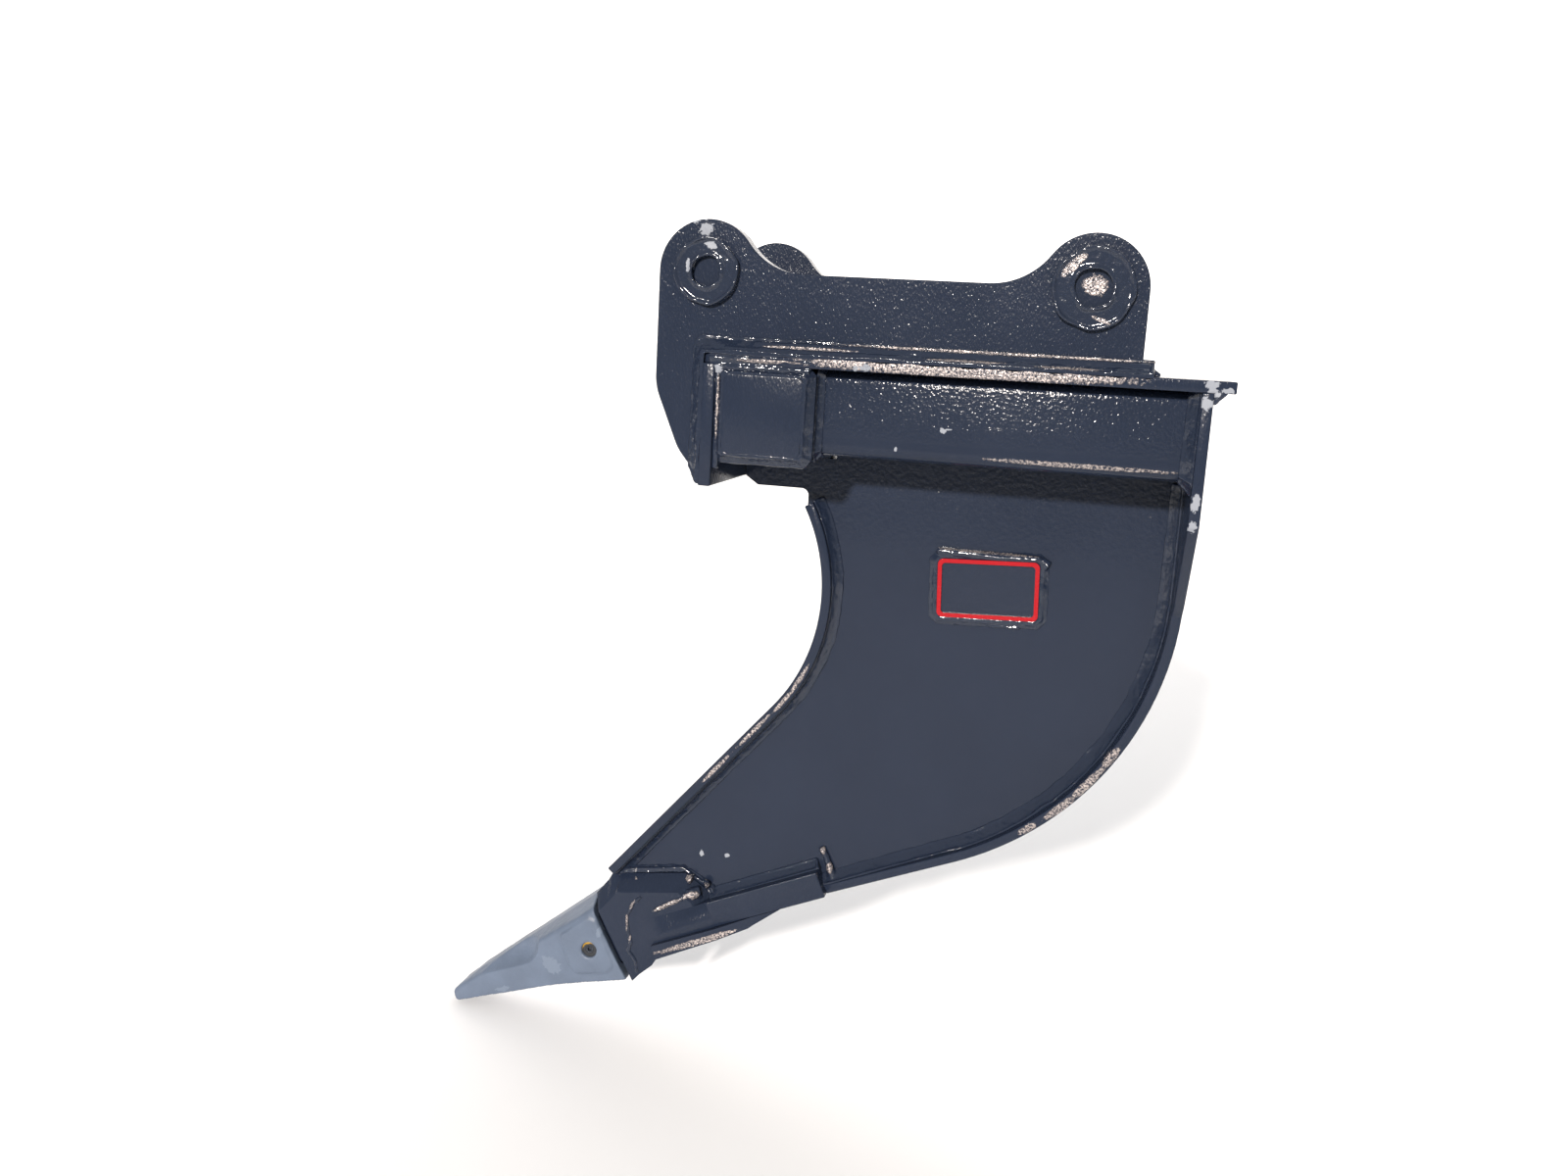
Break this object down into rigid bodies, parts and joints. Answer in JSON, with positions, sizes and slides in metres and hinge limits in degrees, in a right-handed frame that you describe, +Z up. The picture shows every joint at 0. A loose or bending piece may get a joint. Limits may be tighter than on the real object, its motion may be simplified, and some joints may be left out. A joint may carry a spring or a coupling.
{
  "type": "excavator ripper",
  "caption": "Single-shank excavator ripper: coupler hanger with two fixed pins, boxed head frame, curved flanged shank and a replaceable tooth on a cast adapter.",
  "frame": {"origin": "centre of the front coupler pin, in the mid plane between the ears", "axes": "+X from the tooth side to the rear coupler pin, +Y along the coupler pins to the right side, +Z up"},
  "size_m": [0.966, 0.37, 1.0925],
  "materials": {
    "frame_paint": "glossy orange-peel paint over welded steel plate",
    "tooth_paint": "satin paint over cast steel",
    "lock_polymer": "moulded polymer",
    "lock_steel": "dark plated steel"
  },
  "bodies": {
    "ripper": {"ear_left": "frame_paint", "front_pin_weld_left": "frame_paint", "rear_pin_weld_left": "frame_paint", "ear_weld_left": "frame_paint", "tube_cap_left": "frame_paint", "cap_weld_left": "frame_paint", "side_tube_left": "frame_paint", "tube_weld_left": "frame_paint", "flange_weld_left": "frame_paint", "strap_weld_left": "frame_paint", "lip_weld_left": "frame_paint", "toe_weld_left": "frame_paint", "ear_right": "frame_paint", "front_pin_weld_right": "frame_paint", "rear_pin_weld_right": "frame_paint", "ear_weld_right": "frame_paint", "tube_cap_right": "frame_paint", "cap_weld_right": "frame_paint", "side_tube_right": "frame_paint", "tube_weld_right": "frame_paint", "flange_weld_right": "frame_paint", "strap_weld_right": "frame_paint", "lip_weld_right": "frame_paint", "toe_weld_right": "frame_paint", "front_pin": "frame_paint", "rear_pin": "frame_paint", "top_plate": "frame_paint", "front_plate": "frame_paint", "cross_tube": "frame_paint", "deck_weld": "frame_paint", "back_strap": "frame_paint", "web": "frame_paint", "front_flange": "frame_paint", "lip_plate": "frame_paint", "adapter": "frame_paint", "name_plate": "frame_paint", "name_plate_weld": "frame_paint"},
    "point": {"tooth": "tooth_paint", "lock_sleeve": "lock_polymer"},
    "lock": {"lock_pin": "lock_steel"}
  },
  "joints": [
    {"name": "point_slide", "type": "slide", "parent": "ripper", "child": "point", "axis": [-0.9135, 0, -0.4067], "range_m": [0, 0.11]},
    {"name": "lock_turn", "type": "hinge", "parent": "point", "child": "lock", "pos_m": [-0.16488, -0.045, -0.91051], "axis": [0, 1, 0], "range_deg": [0, 90]}
  ]
}
